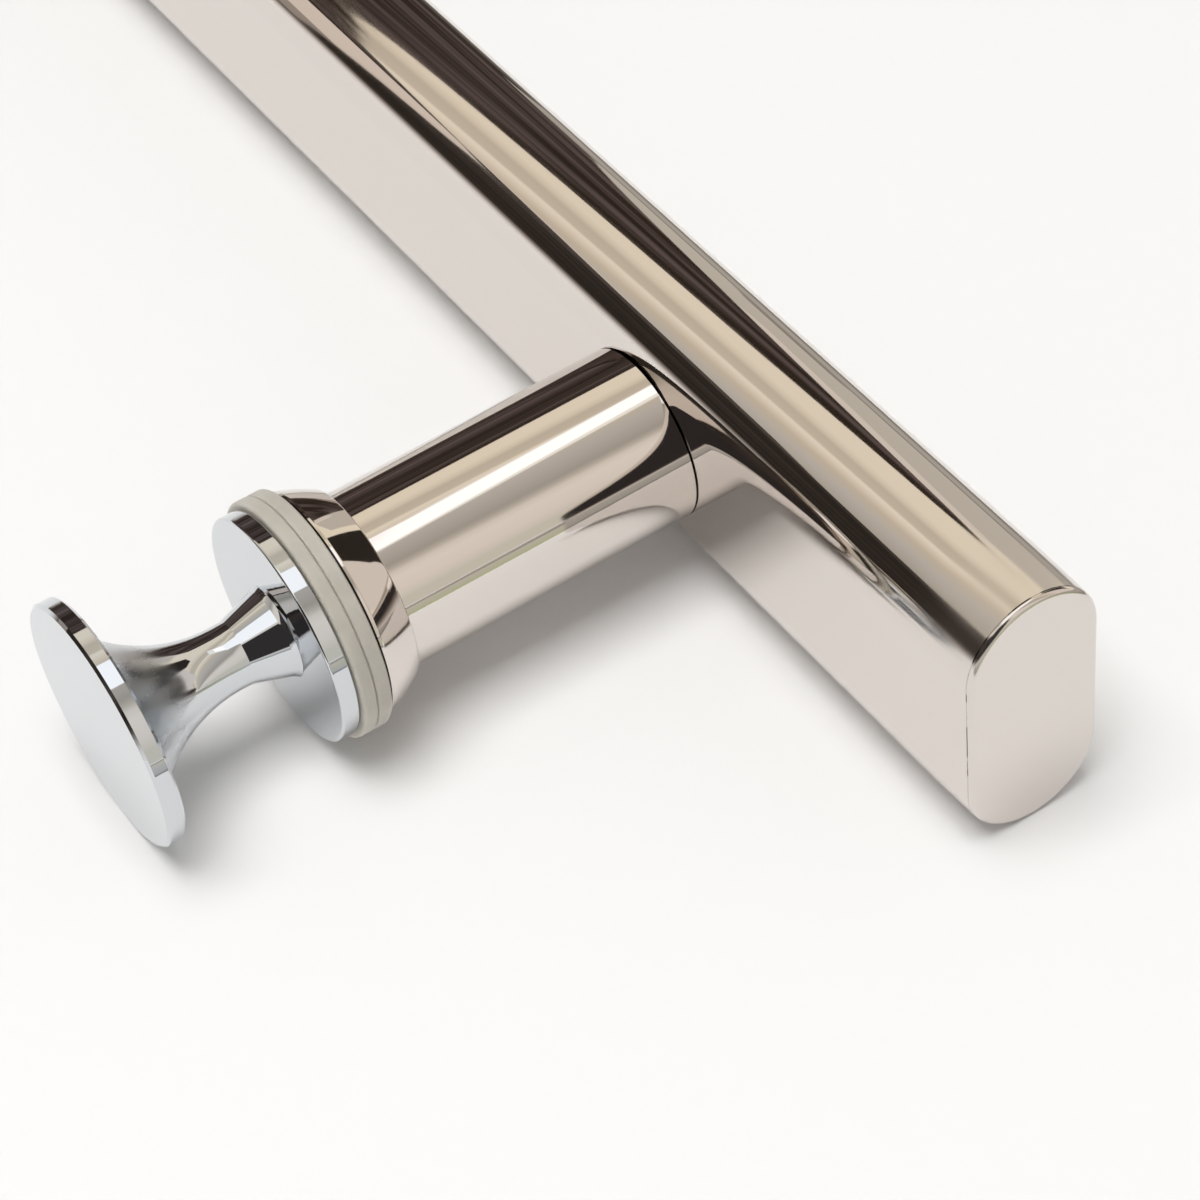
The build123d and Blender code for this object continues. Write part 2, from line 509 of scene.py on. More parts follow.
@dataclass(frozen=True)
class PolishedMetal:
    """Mirror finish of the steel pieces and of the plated knobs."""

    name: str
    tone: Tone
    grain: Grain
    roughness: float = 0.035
    haze: float = 0.02
    wave_depth: float = 1.2e-6
    wave_scale: float = 90.0
    line_scale: float = 2600.0
    line_stretch: float = 0.12
    line_lean: float = 1.3
    axis_place: float = 0.0
    brushed: Span | None = None
    full_streaks: float = 4.0 * MM
    streak_run: float = 60.0
    streak_depth: float = 4.0
    streak_roughness: Span = (0.12, 0.42)
    # Painted shade: thin dark lines in the colour where pieces meet, given as places and widths, with their
    # tone and specks that break them up.
    seams: tuple[Span, ...] = ()
    seam_shade_tone: Tone = (0.03, 0.027, 0.025)
    broken_seam_shade: bool = False
    satin_end: Span | None = None
    satin_roughness: float = 0.11

    def from_axis(self, tree: Tree, x: Socket, z: Socket) -> tuple[Socket, Socket]:
        """Measure how far a place lies from the post's axis.

        Args:
            tree: The material's tree.
            x: Place along the bar.
            z: Height over the axis.

        Returns:
            The distance along the bar, and the whole distance.
        """
        across = maths(tree, "SUBTRACT", x, self.axis_place)
        squares = [maths(tree, "MULTIPLY", side, side) for side in (across, z)]
        return across, maths(tree, "SQRT", maths(tree, "ADD", *squares))

    def lined(self, tree: Tree, place: Socket) -> Socket:
        """Lay out the polishing lines.

        Args:
            tree: The material's tree.
            place: Place in the piece.

        Returns:
            Place in the pattern, drawn out along the lines.
        """
        if self.grain is Grain.ALONG_BAR:
            drawn = {"Vector": place, "Scale": (self.line_stretch, 1.0, 1.0)}
            return put(tree, "ShaderNodeMapping", drawn).outputs[0]
        x, y, z = put(tree, "ShaderNodeSeparateXYZ", {0: place}).outputs
        across, radius = self.from_axis(tree, x, z)
        turned = {
            "X": maths(tree, "MULTIPLY", across, self.line_stretch),
            "Y": maths(tree, "ADD", y, maths(tree, "MULTIPLY", radius, self.line_lean)),
            "Z": maths(tree, "MULTIPLY", z, self.line_stretch),
        }
        return put(tree, "ShaderNodeCombineXYZ", turned).outputs[0]

    def streaked(self, tree: Tree, place: Socket) -> tuple[Socket, Socket]:
        """Dull radial streaks where the polishing wheel doesn't reach.

        Args:
            tree: The material's tree.
            place: Place in the piece.

        Returns:
            Share of the dull zone, and the streaks.
        """
        x, y, z = put(tree, "ShaderNodeSeparateXYZ", {0: place}).outputs
        across, radius = self.from_axis(tree, x, z)
        start, end = self.brushed
        dull = ranged(tree, y, (end, start + self.full_streaks), soft=True)
        share = maths(tree, "MULTIPLY", dull, maths(tree, "GREATER_THAN", y, start))
        spoke = {
            "X": maths(tree, "DIVIDE", across, radius),
            "Y": maths(tree, "MULTIPLY", radius, self.streak_run),
            "Z": maths(tree, "DIVIDE", z, radius),
        }
        return share, noise(tree, put(tree, "ShaderNodeCombineXYZ", spoke).outputs[0], 6.0, 4.0)

    def seam_shaded(self, tree: Tree, along: Socket, place: Socket) -> Socket:
        """Colour of the metal with painted shade: a thin dark line where two pieces meet, standing in for the
        shadow in the joint.

        Args:
            tree: The material's tree.
            along: Place in the direction across the line.
            place: Place in the piece.

        Returns:
            The colour, with the painted shade lines.
        """
        share = 0.0
        for middle, width in self.seams:
            away = maths(tree, "ABSOLUTE", maths(tree, "SUBTRACT", along, middle))
            share = maths(tree, "MAXIMUM", share, maths(tree, "LESS_THAN", away, width / 2))
        # Specks break the painted shade line into short dark ticks.
        if self.broken_seam_shade:
            specks = noise(tree, place, 420.0, 3.0)
            share = maths(tree, "MULTIPLY", share, ranged(tree, specks, (0.49, 0.54), (0.3, 1.0)))
        return blended(tree, share, opaque(self.tone), opaque(self.seam_shade_tone))

    def material(self) -> Material:
        """Build the material.

        Returns:
            The material.
        """
        tree, shader = principled(self.name)
        place = object_place(tree)
        x, y, _ = put(tree, "ShaderNodeSeparateXYZ", {0: place}).outputs
        pattern = {"Vector": self.lined(tree, place)}
        pattern |= {"Line Scale": self.line_scale, "Wave Scale": self.wave_scale}
        marks = put(tree, "ShaderNodeGroup", pattern, node_tree=polishing_marks()).outputs
        colour, height = opaque(self.tone), marks["Height"]
        roughness = ranged(tree, marks["Haze"], (0.0, 1.0), (self.roughness, self.roughness + self.haze))
        if self.brushed is not None:
            share, streaks = self.streaked(tree, place)
            cut = maths(tree, "MULTIPLY", maths(tree, "MULTIPLY", share, streaks), self.streak_depth)
            height = maths(tree, "ADD", height, cut)
            worn = ranged(tree, streaks, (0.0, 1.0), self.streak_roughness)
            roughness = maths(tree, "ADD", roughness, maths(tree, "MULTIPLY", share, worn))
        # Painted shade in the joints, laid into the base colour.
        if self.seams:
            along = y if self.grain is Grain.ROUND_POST else maths(tree, "ABSOLUTE", x)
            colour = self.seam_shaded(tree, along, place)
        if self.satin_end is not None:
            far = maths(tree, "ABSOLUTE", x)
            satin = ranged(tree, far, self.satin_end, (0.0, self.satin_roughness), soft=True)
            roughness = maths(tree, "ADD", roughness, satin)
        looks = {"Base Color": colour, "Metallic": 1.0, "Roughness": roughness}
        feed(tree, shader, looks | {"Normal": relief(tree, height, self.wave_depth)})
        return bpy.data.materials[self.name]


@dataclass(frozen=True)
class MilkyGasket:
    """Cloudy soft plastic of the gaskets."""

    name: str = "milky_gasket"
    tone: Tone = (0.57, 0.54, 0.475)
    clear_tone: Tone = (0.46, 0.43, 0.375)
    roughness: Span = (0.32, 0.5)
    grit_depth: float = 6e-6

    def material(self) -> Material:
        """Build the material.

        Returns:
            The material.
        """
        tree, shader = principled(self.name)
        place = object_place(tree)
        tone, _ = mottled(tree, place, 260.0, 3.0, (self.clear_tone, self.tone))
        grit = noise(tree, place, 3500.0, 2.0)
        looks = {
            "Base Color": tone,
            "Roughness": ranged(tree, grit, (0.0, 1.0), self.roughness),
            "Normal": relief(tree, grit, self.grit_depth),
            "Subsurface Weight": 0.6,
            "Subsurface Radius": (1.0, 0.95, 0.85),
            "Subsurface Scale": 0.0025,
            "IOR": 1.43,
        }
        feed(tree, shader, looks)
        return bpy.data.materials[self.name]


@dataclass(frozen=True)
class MouldedBush:
    """Dull moulded plastic of the bushes."""

    name: str = "moulded_bush"
    tone: Tone = (0.045, 0.045, 0.048)
    paling: float = 1.5
    roughness: Span = (0.45, 0.65)
    grain_depth: float = 1.5e-5

    def material(self) -> Material:
        """Build the material.

        Returns:
            The material.
        """
        tree, shader = principled(self.name)
        pale = tuple(self.paling * value for value in self.tone)
        tone, grain = mottled(tree, object_place(tree), 2400.0, 3.0, (self.tone, pale))
        rough = ranged(tree, grain, (0.0, 1.0), self.roughness)
        looks = {"Base Color": tone, "Roughness": rough, "Normal": relief(tree, grain, self.grain_depth)}
        feed(tree, shader, looks)
        return bpy.data.materials[self.name]


@dataclass(frozen=True)
class MachinedSteel:
    """Machined steel of the plugs, studs and nut blocks, with tool marks round the post's axis."""

    name: str = "machined_steel"
    tone: Tone = (0.55, 0.54, 0.52)
    dulling: float = 0.75
    roughness: Span = (0.28, 0.42)
    tool_depth: float = 6e-6

    def material(self) -> Material:
        """Build the material.

        Returns:
            The material.
        """
        tree, shader = principled(self.name)
        place = object_place(tree)
        bands = {"Vector": place, "Scale": 900.0, "Distortion": 0.6, "Detail": 2.0}
        tool = put(tree, "ShaderNodeTexWave", bands, bands_direction="Y").outputs["Fac"]
        dull = tuple(self.dulling * value for value in self.tone)
        tone, worn = mottled(tree, place, 420.0, 4.0, (dull, self.tone))
        rough = ranged(tree, worn, (0.0, 1.0), self.roughness)
        looks = {"Base Color": tone, "Metallic": 1.0, "Roughness": rough}
        feed(tree, shader, looks | {"Normal": relief(tree, tool, self.tool_depth)})
        return bpy.data.materials[self.name]


@dataclass
class Bar:
    """Flat-sided oval tube closed by a plate at each end."""

    half_length: float
    tube_half_length: float
    near: float
    depth: float
    height: float
    wall: float = 1.5 * MM
    edge_radius: float = 0.8 * MM
    spigot_length: float = 5.0 * MM
    spigot_gap: float = 0.1 * MM
    hole_radius: float = 4.1 * MM
    worn_length: float = 12.0 * MM
    worn_depth: float = 0.22 * MM
    tube_stations: Span = (5.0 * MM, 0.5 * MM)
    cap_stations: Span = (0.6 * MM, 1.2 * MM)
    face_margin: float = 2.0 * MM
    round_steps: int = 72
    worn_steps: int = 10
    edge_steps: int = 18

    @classmethod
    def from_frame(cls) -> "Bar":
        """Take the bar's sizes from its CAD nodes.

        Returns:
            The bar.
        """
        low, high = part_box("bar_tube")
        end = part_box("end_cap_right")[1].x
        return cls(
            half_length=snapped(end),
            tube_half_length=snapped(high.x),
            near=snapped(low.y),
            depth=snapped(high.y - low.y),
            height=snapped(high.z - low.z),
        )

    def worn(self, place: float) -> float:
        """How far the polishing wheel has taken the bar's outside down at a place near its end."""
        share = max(0.0, 1 - (self.half_length - abs(place)) / self.worn_length)
        return self.worn_depth * share**2

    def oval(self, inset: float) -> list[Point]:
        """Section of the bar.

        Args:
            inset: How far the outline lies inside the bar's outside.

        Returns:
            Places across and up, round the outline.
        """
        radius = self.depth / 2 - inset
        centre = self.near + self.depth / 2
        flat = self.height / 2 - self.depth / 2
        points = [(centre + radius, -flat), (centre + radius, flat)]
        points += arc((centre, flat), (centre + radius, flat), math.pi, self.round_steps)
        points += [(centre - radius, -flat)]
        points += arc((centre, -flat), (centre - radius, -flat), math.pi, self.round_steps)[:-1]
        return guarded(points, closed=True)

    def lofted(self, stations: list[tuple[float, float]], looped: bool) -> Mesh:
        """Skin over a row of sections.

        Args:
            stations: Place along the bar and inset of each section.
            looped: Whether the last section joins the first, or both get a flat end.

        Returns:
            The closed mesh.
        """
        rings = [[(place, *point) for point in self.oval(inset)] for place, inset in stations]
        count = len(rings[0])
        vertices = [vertex for ring in rings for vertex in ring]
        faces = []
        for index in range(len(rings) if looped else len(rings) - 1):
            one, two = index * count, (index + 1) % len(rings) * count
            faces += [(one + i, one + (i + 1) % count, two + (i + 1) % count, two + i) for i in range(count)]
        if not looped:
            faces.append(tuple(reversed(range(count))))
            faces.append(tuple(range((len(rings) - 1) * count, len(rings) * count)))
        mesh = bpy.data.meshes.new("lofted")
        mesh.from_pydata(vertices, [], faces)
        mesh.validate()
        return outward(mesh)

    def build_tube(self, shop: Workshop, material: Material, spacing: float) -> Piece:
        """Build the drilled tube.

        Args:
            shop: Shared shape trees.
            material: Finish of the tube.
            spacing: Distance between the two posts.

        Returns:
            The tube.
        """
        end = self.tube_half_length
        start = self.half_length - self.worn_length
        places = [start - ahead for ahead in self.tube_stations]
        places += [start + (end - start) * step / self.worn_steps for step in range(self.worn_steps + 1)]
        outside = [(-place, self.worn(place)) for place in reversed(places)]
        outside += [(place, self.worn(place)) for place in places]
        shell = self.lofted([*outside, (end, self.wall), (-end, self.wall)], looped=True)
        values = {
            "Hole Spacing": spacing,
            "Hole Radius": self.hole_radius,
            "Hole Start": self.near + self.wall / 2,
            "Hole Depth": 3 * self.wall,
            "Material": material,
        }
        mesh = evaluated(shell, shop.drill.tree, values)
        return shown("polished_bar_tube", mesh, "polished_steel", "bar_tube")

    def build_cap(self, side: Side, material: Material) -> Piece:
        """Build one end plate with its polished edge and its spigot.

        Args:
            side: Which end.
            material: Finish of the plate.

        Returns:
            The plate.
        """
        seat, end, radius = self.tube_half_length, self.half_length, self.edge_radius
        inner = self.wall + self.spigot_gap
        edge = self.worn(end - radius)
        profile = [(seat - self.spigot_length, inner), (seat, inner), (seat, self.worn(seat))]
        profile += [(seat + past, self.worn(seat + past)) for past in self.cap_stations]
        profile.append((end - radius, edge))
        profile += arc((end - radius, edge + radius), (end - radius, edge), QUARTER, self.edge_steps)
        profile.append((end, edge + radius + self.face_margin))
        stations = guarded(profile, closed=False)
        mesh = self.lofted([(side.value * place, inset) for place, inset in stations], looped=False)
        for polygon in mesh.polygons:
            polygon.use_smooth = True
        mesh.set_sharp_from_angle(angle=CREASE)
        mesh.materials.append(material)
        return shown(f"polished_end_cap_{side.tag}", mesh, "polished_steel", f"end_cap_{side.tag}")


@dataclass
class Post:
    """Round tube between the glass and the bar."""

    side: Side
    place: float
    radius: float
    glass_end: float
    bar_end: float
    wall: float = 2.0 * MM
    edge_break: float = 0.2 * MM

    @classmethod
    def from_frame(cls, side: Side, place: float) -> "Post":
        """Take the post's sizes from its CAD node, given the place of its axis along the bar."""
        low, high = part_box(f"post_{side.tag}")
        return cls(side, place, snapped(high.x - place), snapped(low.y), snapped(high.y))

    def build(self, shop: Workshop, material: Material) -> Piece:
        """Build the tube, its outer edge just broken where it meets the bar.

        Args:
            shop: Shared shape trees.
            material: Finish of the post.

        Returns:
            The post.
        """
        bore, cut = self.radius - self.wall, self.edge_break
        outline = [(bore, self.glass_end), (self.radius, self.glass_end), (self.radius, self.bar_end - cut)]
        outline += [(self.radius - cut, self.bar_end), (bore, self.bar_end)]
        mesh = shop.lathe.turn(outline, self.place, material)
        return shown(f"polished_post_{self.side.tag}", mesh, "polished_steel", f"post_{self.side.tag}")


@dataclass
class GlassClamp:
    """Collar, gaskets and backplate, which close on the glass round one hole."""

    side: Side
    place: float
    collar_radius: float
    collar_seat: float
    collar_end: float
    gasket_radius: float
    plate_radius: float
    plate_front: float
    post_radius: float
    collar_gap: float = 0.25 * MM
    collar_neck_wall: float = 1.05 * MM
    collar_rim_width: float = 0.8 * MM
    collar_bulge: float = 0.12 * MM
    collar_rounding: float = 0.5 * MM
    collar_recess_depth: float = 0.8 * MM
    collar_recess_wall: float = 1.5 * MM
    gasket_rounding: float = 0.45 * MM
    gasket_bore: float = 6.25 * MM
    gasket_flats: int = 256
    plate_rounding: float = 0.35 * MM
    plate_pocket_radius: float = 6.25 * MM
    plate_pocket_depth: float = 1.6 * MM
    plate_bore: float = 3.25 * MM
    flank_steps: int = 40

    @classmethod
    def from_frame(cls, side: Side, post: Post) -> "GlassClamp":
        """Take the clamp's sizes from its CAD nodes.

        Args:
            side: Which clamp.
            post: The post it holds.

        Returns:
            The clamp.
        """
        collar_low, collar_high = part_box(f"collar_{side.tag}")
        gasket_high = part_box(f"outer_gasket_{side.tag}")[1]
        plate_low, plate_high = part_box(f"backplate_{side.tag}")
        return cls(
            side=side,
            place=post.place,
            collar_radius=snapped(collar_high.x - post.place),
            collar_seat=snapped(collar_low.y),
            collar_end=snapped(collar_high.y),
            gasket_radius=snapped(gasket_high.x - post.place),
            plate_radius=snapped(plate_high.x - post.place),
            plate_front=snapped(plate_low.y),
            post_radius=post.radius,
        )

    def flank(self) -> list[Point]:
        """Outside of the collar from its rim to its neck's end, with the rounding at the top.

        Returns:
            Distances from the axis and places along it.
        """
        bore = self.post_radius + self.collar_gap
        neck = Vector((bore + self.collar_neck_wall, self.collar_end))
        rim = Vector((self.collar_radius, self.collar_seat + self.collar_rim_width))
        middle = (neck + rim) / 2 + Vector((self.collar_bulge, self.collar_bulge))
        centre, radius = circle_through(rim, middle, neck)
        rounding = self.collar_rounding
        low = self.collar_end - rounding
        reach = radius - rounding
        across = centre.x + math.sqrt(reach**2 - (low - centre.y) ** 2)
        touch = centre + (Vector((across, low)) - centre).normalized() * radius
        first = math.atan2(rim.y - centre.y, rim.x - centre.x)
        last = math.atan2(touch.y - centre.y, touch.x - centre.x)
        points = arc(tuple(centre), tuple(rim), last - first, self.flank_steps)
        start = math.atan2(touch.y - low, touch.x - across)
        points += arc((across, low), tuple(touch), QUARTER - start, ROUNDING_STEPS)
        return [tuple(rim), *points]

    def build_collar(self, shop: Workshop, material: Material) -> Piece:
        """Build the flared collar.

        Args:
            shop: Shared shape trees.
            material: Finish of the collar.

        Returns:
            The collar.
        """
        bore = self.post_radius + self.collar_gap
        recess = self.collar_radius - self.collar_recess_wall
        seat, floor = self.collar_seat, self.collar_seat + self.collar_recess_depth
        outline = [(bore, floor), (recess, floor), (recess, seat), (self.collar_radius, seat)]
        outline += [*self.flank(), (bore, self.collar_end)]
        mesh = shop.lathe.turn(outline, self.place, material)
        return shown(f"flared_collar_{self.side.tag}", mesh, "polished_steel", f"collar_{self.side.tag}")

    def rounded_disc(self, radius: float, low: float, high: float, rounding: float) -> list[Point]:
        """Outer edge of a flat disc with both rims rounded.

        Args:
            radius: Radius of the disc.
            low: Lower face.
            high: Upper face.
            rounding: Radius of each rounded rim.

        Returns:
            Points from the lower face to the upper one.
        """
        flat = radius - rounding
        points = [(flat, low), *arc((flat, low + rounding), (flat, low), QUARTER, ROUNDING_STEPS)]
        points.append((radius, high - rounding))
        return points + arc((flat, high - rounding), (radius, high - rounding), QUARTER, ROUNDING_STEPS)

    def build_gaskets(self, shop: Workshop, material: Material) -> list[Piece]:
        """Build the two soft rings that lie on either side of the glass.

        Args:
            shop: Shared shape trees.
            material: Finish of the gaskets.

        Returns:
            The outer and the inner gasket.
        """
        made = []
        for name, low, high in (("outer", 0.0, self.collar_seat), ("inner", -self.collar_seat, 0.0)):
            outline = [(self.gasket_bore, low)]
            outline += self.rounded_disc(self.gasket_radius, low, high, self.gasket_rounding)
            outline.append((self.gasket_bore, high))
            mesh = shop.lathe.turn(outline, self.place, material, segments=self.gasket_flats)
            node = f"{name}_gasket_{self.side.tag}"
            made.append(shown(f"milky_{node}", mesh, "gasket", node))
        return made

    def build_backplate(self, shop: Workshop, material: Material) -> Piece:
        """Build the polished disc behind the knob.

        Args:
            shop: Shared shape trees.
            material: Finish of the disc.

        Returns:
            The disc.
        """
        seat, pocket = -self.collar_seat, self.plate_pocket_radius
        floor = seat - self.plate_pocket_depth
        outline = [(self.plate_bore, self.plate_front)]
        outline += self.rounded_disc(self.plate_radius, self.plate_front, seat, self.plate_rounding)
        outline += [(pocket, seat), (pocket, floor), (self.plate_bore, floor)]
        mesh = shop.lathe.turn(outline, self.place, material)
        return shown(f"plated_backplate_{self.side.tag}", mesh, "knob_chrome", f"backplate_{self.side.tag}")


def circle_through(one: Vector, two: Vector, three: Vector) -> tuple[Vector, float]:
    """Circle through three points.

    Args:
        one: First point.
        two: Second point.
        three: Third point.

    Returns:
        Its centre and radius.
    """
    a, b = two - one, three - one
    cross = 2 * (a.x * b.y - a.y * b.x)
    across = (b.y * a.length_squared - a.y * b.length_squared) / cross
    up = (a.x * b.length_squared - b.x * a.length_squared) / cross
    return one + Vector((across, up)), math.hypot(across, up)


@dataclass
class Knob:
    """Turned spool knob: lip, bell, waist, flare and flat disc."""

    side: Side
    place: float
    disc_radius: float
    front: float
    back: float
    disc_thickness: float = 2.7 * MM
    disc_bevel: float = 0.4 * MM
    lip_radius: float = 6.6 * MM
    lip_width: float = 0.7 * MM
    bell_radius: float = 6.1 * MM
    bell_length: float = 5.9 * MM
    waist_radius: float = 4.45 * MM
    waist_length: float = 1.5 * MM
    flare_radius: float = 12.2 * MM
    root_radius: float = 0.8 * MM
    bore_radius: float = 3.1 * MM
    bore_depth: float = 9.5 * MM
    flare_steps: int = 48

    @classmethod
    def from_frame(cls, side: Side, place: float) -> "Knob":
        """Take the knob's sizes from its CAD node, given the place of its axis along the bar."""
        low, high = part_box(f"knob_{side.tag}")
        return cls(side, place, snapped(high.x - place), snapped(low.y), snapped(high.y))

    def outline(self) -> list[Point]:
        """Half section from the middle of the disc's face round to the bottom of the bore.

        Returns:
            Distances from the axis and places along it.
        """
        disc_back = self.front + self.disc_thickness
        crease = self.back - self.bell_length
        flare_start = crease - self.waist_length
        rise = self.flare_radius - self.waist_radius
        drop = flare_start - disc_back
        sweep_radius = (rise**2 + drop**2) / (2 * rise)
        centre = Vector((self.waist_radius + sweep_radius, flare_start))
        root = self.root_radius
        level = disc_back + root
        reach = sweep_radius - root
        across = centre.x - math.sqrt(reach**2 - (centre.y - level) ** 2)
        root_centre = Vector((across, level))
        touch = centre + (root_centre - centre).normalized() * sweep_radius
        bevel, disc = self.disc_bevel, self.disc_radius
        points = [(0.0, self.front), (disc - bevel, self.front), (disc, self.front + bevel)]
        points += [(disc, disc_back - bevel), (disc - bevel, disc_back), (across, disc_back)]
        low = math.atan2(disc_back - level, 0.0)
        end = math.atan2(touch.y - level, touch.x - across)
        sweep = (end - low) % (2 * math.pi) - 2 * math.pi
        points += arc(tuple(root_centre), (across, disc_back), sweep, ROUNDING_STEPS)
        first = math.atan2(touch.y - centre.y, touch.x - centre.x) % (2 * math.pi)
        points += arc(tuple(centre), tuple(touch), math.pi - first, self.flare_steps)
        points += [(self.waist_radius, crease), (self.bell_radius, self.back - self.lip_width)]
        points += [(self.lip_radius, self.back), (self.bore_radius, self.back)]
        points += [(self.bore_radius, self.back - self.bore_depth), (0.0, self.back - self.bore_depth)]
        return points

    def build(self, shop: Workshop, material: Material) -> Piece:
        """Build the knob and give it its finish."""
        mesh = shop.lathe.turn(self.outline(), self.place, material, closed=False)
        return shown(f"plated_knob_{self.side.tag}", mesh, "knob_chrome", f"knob_{self.side.tag}")


@dataclass
class Fasteners:
    """Plugs, studs, nut blocks and bushes inside the handle, which keep their CAD shapes."""

    steel_nodes: tuple[str, ...] = ("head_plug", "foot_plug", "nut_block", "joining_stud", "clamp_stud")
    bush_nodes: tuple[str, ...] = ("hole_bush",)

    def dress(self, steel: Material, plastic: Material) -> None:
        """Give the hidden pieces their materials.

        Args:
            steel: Finish of the plugs, studs and nut blocks.
            plastic: Finish of the bushes.
        """
        for side in Side:
            for names, material in ((self.steel_nodes, steel), (self.bush_nodes, plastic)):
                for name in names:
                    mesh = frame["nodes"][f"{name}_{side.tag}"].data
                    mesh.materials.clear()
                    mesh.materials.append(material)


@dataclass(frozen=True)
class ReflectionCard:
    """Flat card seen only in the metal, given by the directions of its corners."""

    name: str
    corners: tuple[Point, ...]
    tone: Tone
    distance: float = 6.0
    streak_tone: Tone | None = None


@dataclass(frozen=True)
class CeilingPatch:
    """Flat patch under the ceiling, given by its corners as shares of the ceiling's height."""

    name: str
    corners: tuple[Point, ...]
    tone: Tone
    drop: float = 0.05


@dataclass(frozen=True)
class TableSurround:
    """Flat card on the table, beyond the camera's view, whose tone changes with the distance."""

    name: str
    corners: tuple[Point, ...]
    direction: Way
    stops: Stops
    lift: float = 0.5 * MM


CARDS: tuple[ReflectionCard, ...] = (
    ReflectionCard("taupe_card", ((118, -2), (118, 33), (132, 33), (132, -2)), (0.62, 0.58, 0.51), 6.4),
    ReflectionCard("pale_edge_card", ((129, 6), (129, 34), (132.2, 36), (132, 10)), (0.80, 0.73, 0.66), 6.3),
    ReflectionCard("grey_edge_card", ((126, -2), (126, 8), (128, 17), (128.6, -2)), (0.33, 0.29, 0.25), 6.3),
    ReflectionCard(
        "dark_tall_card",
        (
            (132, -2), (131.8, 20), (132.3, 30), (132.5, 36), (134, 40.3), (138, 42.5), (146, 44.8),
            (154, 46.6), (165, 46.4), (175, 45.2), (185, 43.7), (195, 41), (204, 37.3), (210, 33),
            (214, 29), (219.5, 26.2), (214.5, 23.5), (212, 10), (211, -2),
        ),
        (0.034, 0.024, 0.018),
        streak_tone=(0.15, 0.115, 0.11),
    ),
    ReflectionCard(
        "light_gap_card", ((209, 6), (209, 33), (216, 27), (224, 27), (223.5, 6)), (0.80, 0.71, 0.63), 6.2
    ),
    ReflectionCard("grey_gap_card", ((209, -2), (209, 9), (224, 9), (224, -2)), (0.38, 0.33, 0.29), 6.1),
    ReflectionCard(
        "dark_low_card",
        (
            (222.2, -2), (222.4, 8), (222.2, 15), (221.8, 20), (221, 24), (219, 26.3), (224, 26.2),
            (228, 27.6), (230, 26), (233, 27), (238, 30), (260, 38), (300, 40), (300, -2),
        ),
        (0.030, 0.024, 0.020),
        5.8,
        (0.085, 0.07, 0.062),
    ),
    ReflectionCard(
        "dark_high_card",
        ((83, 8), (84, 44), (98, 50), (112, 46), (113, 10), (98, 12)),
        (0.03, 0.024, 0.02),
    ),
    ReflectionCard(
        "pale_low_card", ((52, 2), (52, 30), (66, 36), (85, 42), (85, 2)), (0.82, 0.74, 0.68), 6.1
    ),
    ReflectionCard(
        "dark_near_card",
        ((300, -2), (300, 50), (320, 56), (340, 52), (350, 40), (350, -2)),
        (0.04, 0.036, 0.036),
        5.6,
    ),
)

PATCHES: tuple[CeilingPatch, ...] = (
    CeilingPatch(
        "ceiling_lamp",
        ((-0.02, 0.29), (0.28, 0.28), (0.09, 0.41), (-0.11, 0.41)),
        (1.55, 1.55, 1.55),
        0.2,
    ),
    CeilingPatch(
        "lamp_glow",
        ((-0.06, 0.30), (0.30, 0.29), (0.08, 0.50), (-0.18, 0.50)),
        (1.10, 1.07, 1.0),
        0.15,
    ),
    CeilingPatch(
        "lamp_foot",
        ((-0.30, -0.50), (0.42, -0.55), (0.34, 0.285), (-0.04, 0.295)),
        (1.35, 1.36, 1.38),
        0.1,
    ),
    CeilingPatch(
        "lit_corner",
        (
            (-0.66, -0.66), (-0.98, -0.62), (-1.25, -0.78), (-1.5, -0.95),
            (-1.9, -1.6), (-0.5, -1.6), (-0.5, -0.9),
        ),
        (0.88, 0.81, 0.68),
    ),
    CeilingPatch(
        "lit_corner_middle",
        (
            (-0.7, -0.78), (-1.0, -0.72), (-1.25, -0.84), (-1.5, -1.0),
            (-1.9, -1.6), (-0.5, -1.6), (-0.55, -1.0),
        ),
        (1.0, 0.93, 0.80),
        0.1,
    ),
)

